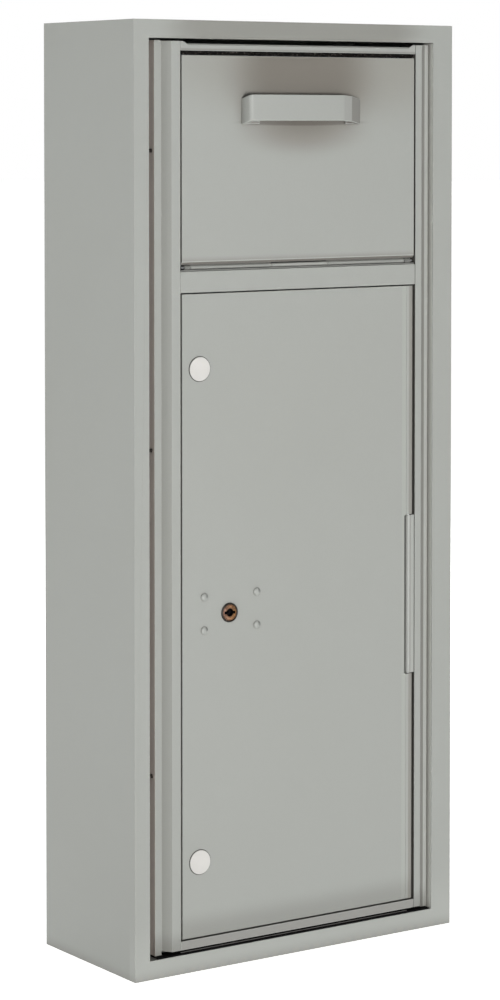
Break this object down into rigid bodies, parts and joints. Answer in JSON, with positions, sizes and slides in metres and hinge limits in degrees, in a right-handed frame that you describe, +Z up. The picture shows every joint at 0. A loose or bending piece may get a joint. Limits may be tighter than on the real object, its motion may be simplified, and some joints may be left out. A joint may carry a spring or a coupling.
{
  "type": "parcel drop box",
  "caption": "Tall wall-mounted steel parcel drop box with a pull-down hopper door above a side-hinged lockable bin door, set in a welded enclosure.",
  "frame": {"origin": "centre of the enclosure's bottom face, halfway between its front rim plane and its back plane", "axes": "+Z up, -Y towards the front (the doors), +Y towards the wall, +X to the right seen from the front"},
  "size_m": [0.46, 0.2193, 1.107],
  "materials": {
    "enclosure_paint": "satin powder coat, silver grey",
    "frame_paint": "satin powder coat, silver grey",
    "door_paint": "satin powder coat, silver grey",
    "zinc_sheet": "galvanised sheet",
    "bright_steel": "zinc plated",
    "dark_steel": "blackened",
    "lock_copper": "worn copper-coloured plating",
    "bristle": "black bristle strip",
    "rubber": "matte",
    "white_disc": "off-white, matte"
  },
  "bodies": {
    "root": {"back_panel": "enclosure_paint", "back_screw_left_lower": "bright_steel", "back_screw_left_upper": "bright_steel", "back_screw_right_lower": "bright_steel", "back_screw_right_upper": "bright_steel", "bottom_rail": "frame_paint", "cabinet_back": "zinc_sheet", "cabinet_floor": "zinc_sheet", "cabinet_side_left": "zinc_sheet", "cabinet_side_right": "zinc_sheet", "cabinet_top": "zinc_sheet", "door_bumper_lower": "rubber", "door_bumper_upper": "rubber", "enclosure_shell": "enclosure_paint", "frame_hinge": "frame_paint", "hinge_pin": "bright_steel", "hopper_pin": "bright_steel", "hopper_spring_left": "frame_paint", "hopper_spring_right": "frame_paint", "hopper_stop_left": "zinc_sheet", "hopper_stop_right": "zinc_sheet", "left_stile": "frame_paint", "middle_rail": "frame_paint", "rear_baffle": "zinc_sheet", "right_stile": "frame_paint", "sill_knuckle": "frame_paint", "stile_screw_left_1": "dark_steel", "stile_screw_left_2": "dark_steel", "stile_screw_left_3": "dark_steel", "stile_screw_right_1": "dark_steel", "stile_screw_right_2": "dark_steel", "stile_screw_right_3": "dark_steel", "strike_strip": "zinc_sheet", "top_rail": "frame_paint", "top_seal": "bristle"},
    "hopper": {"hopper_door": "door_paint", "hopper_handle": "door_paint", "hopper_knuckle_left": "door_paint", "hopper_knuckle_right": "door_paint", "hopper_tray": "zinc_sheet", "hopper_cheek_left": "zinc_sheet", "hopper_cheek_right": "zinc_sheet", "handle_screw_left": "bright_steel", "handle_screw_right": "bright_steel"},
    "parcel_door": {"parcel_door": "door_paint", "door_stiffener": "zinc_sheet", "door_hinge_upper": "door_paint", "door_hinge_lower": "door_paint", "lock_body": "dark_steel", "lock_nut": "bright_steel", "lock_plate": "zinc_sheet", "lock_rivet_1": "door_paint", "lock_rivet_2": "door_paint", "lock_rivet_3": "door_paint", "lock_rivet_4": "door_paint", "number_disc_upper": "white_disc", "number_disc_lower": "white_disc"},
    "lock_cylinder": {"lock_plug": "lock_copper", "lock_cam": "bright_steel", "cam_screw": "bright_steel"}
  },
  "joints": [
    {"name": "hopper_tilt", "type": "hinge", "parent": "root", "child": "hopper", "pos_m": [0, -0.099, 0.822], "axis": [1, 0, 0], "range_deg": [0, 40], "stiffness_Nm_per_rad": 1.6, "springref_deg": -28.65},
    {"name": "parcel_door_swing", "type": "hinge", "parent": "root", "child": "parcel_door", "pos_m": [0.1649, -0.0975, 0.416], "axis": [0, 0, 1], "range_deg": [0, 100]},
    {"name": "lock_turn", "type": "hinge", "parent": "parcel_door", "child": "lock_cylinder", "pos_m": [-0.1012, -0.103, 0.4176], "axis": [0, 1, 0], "range_deg": [0, 90]}
  ]
}
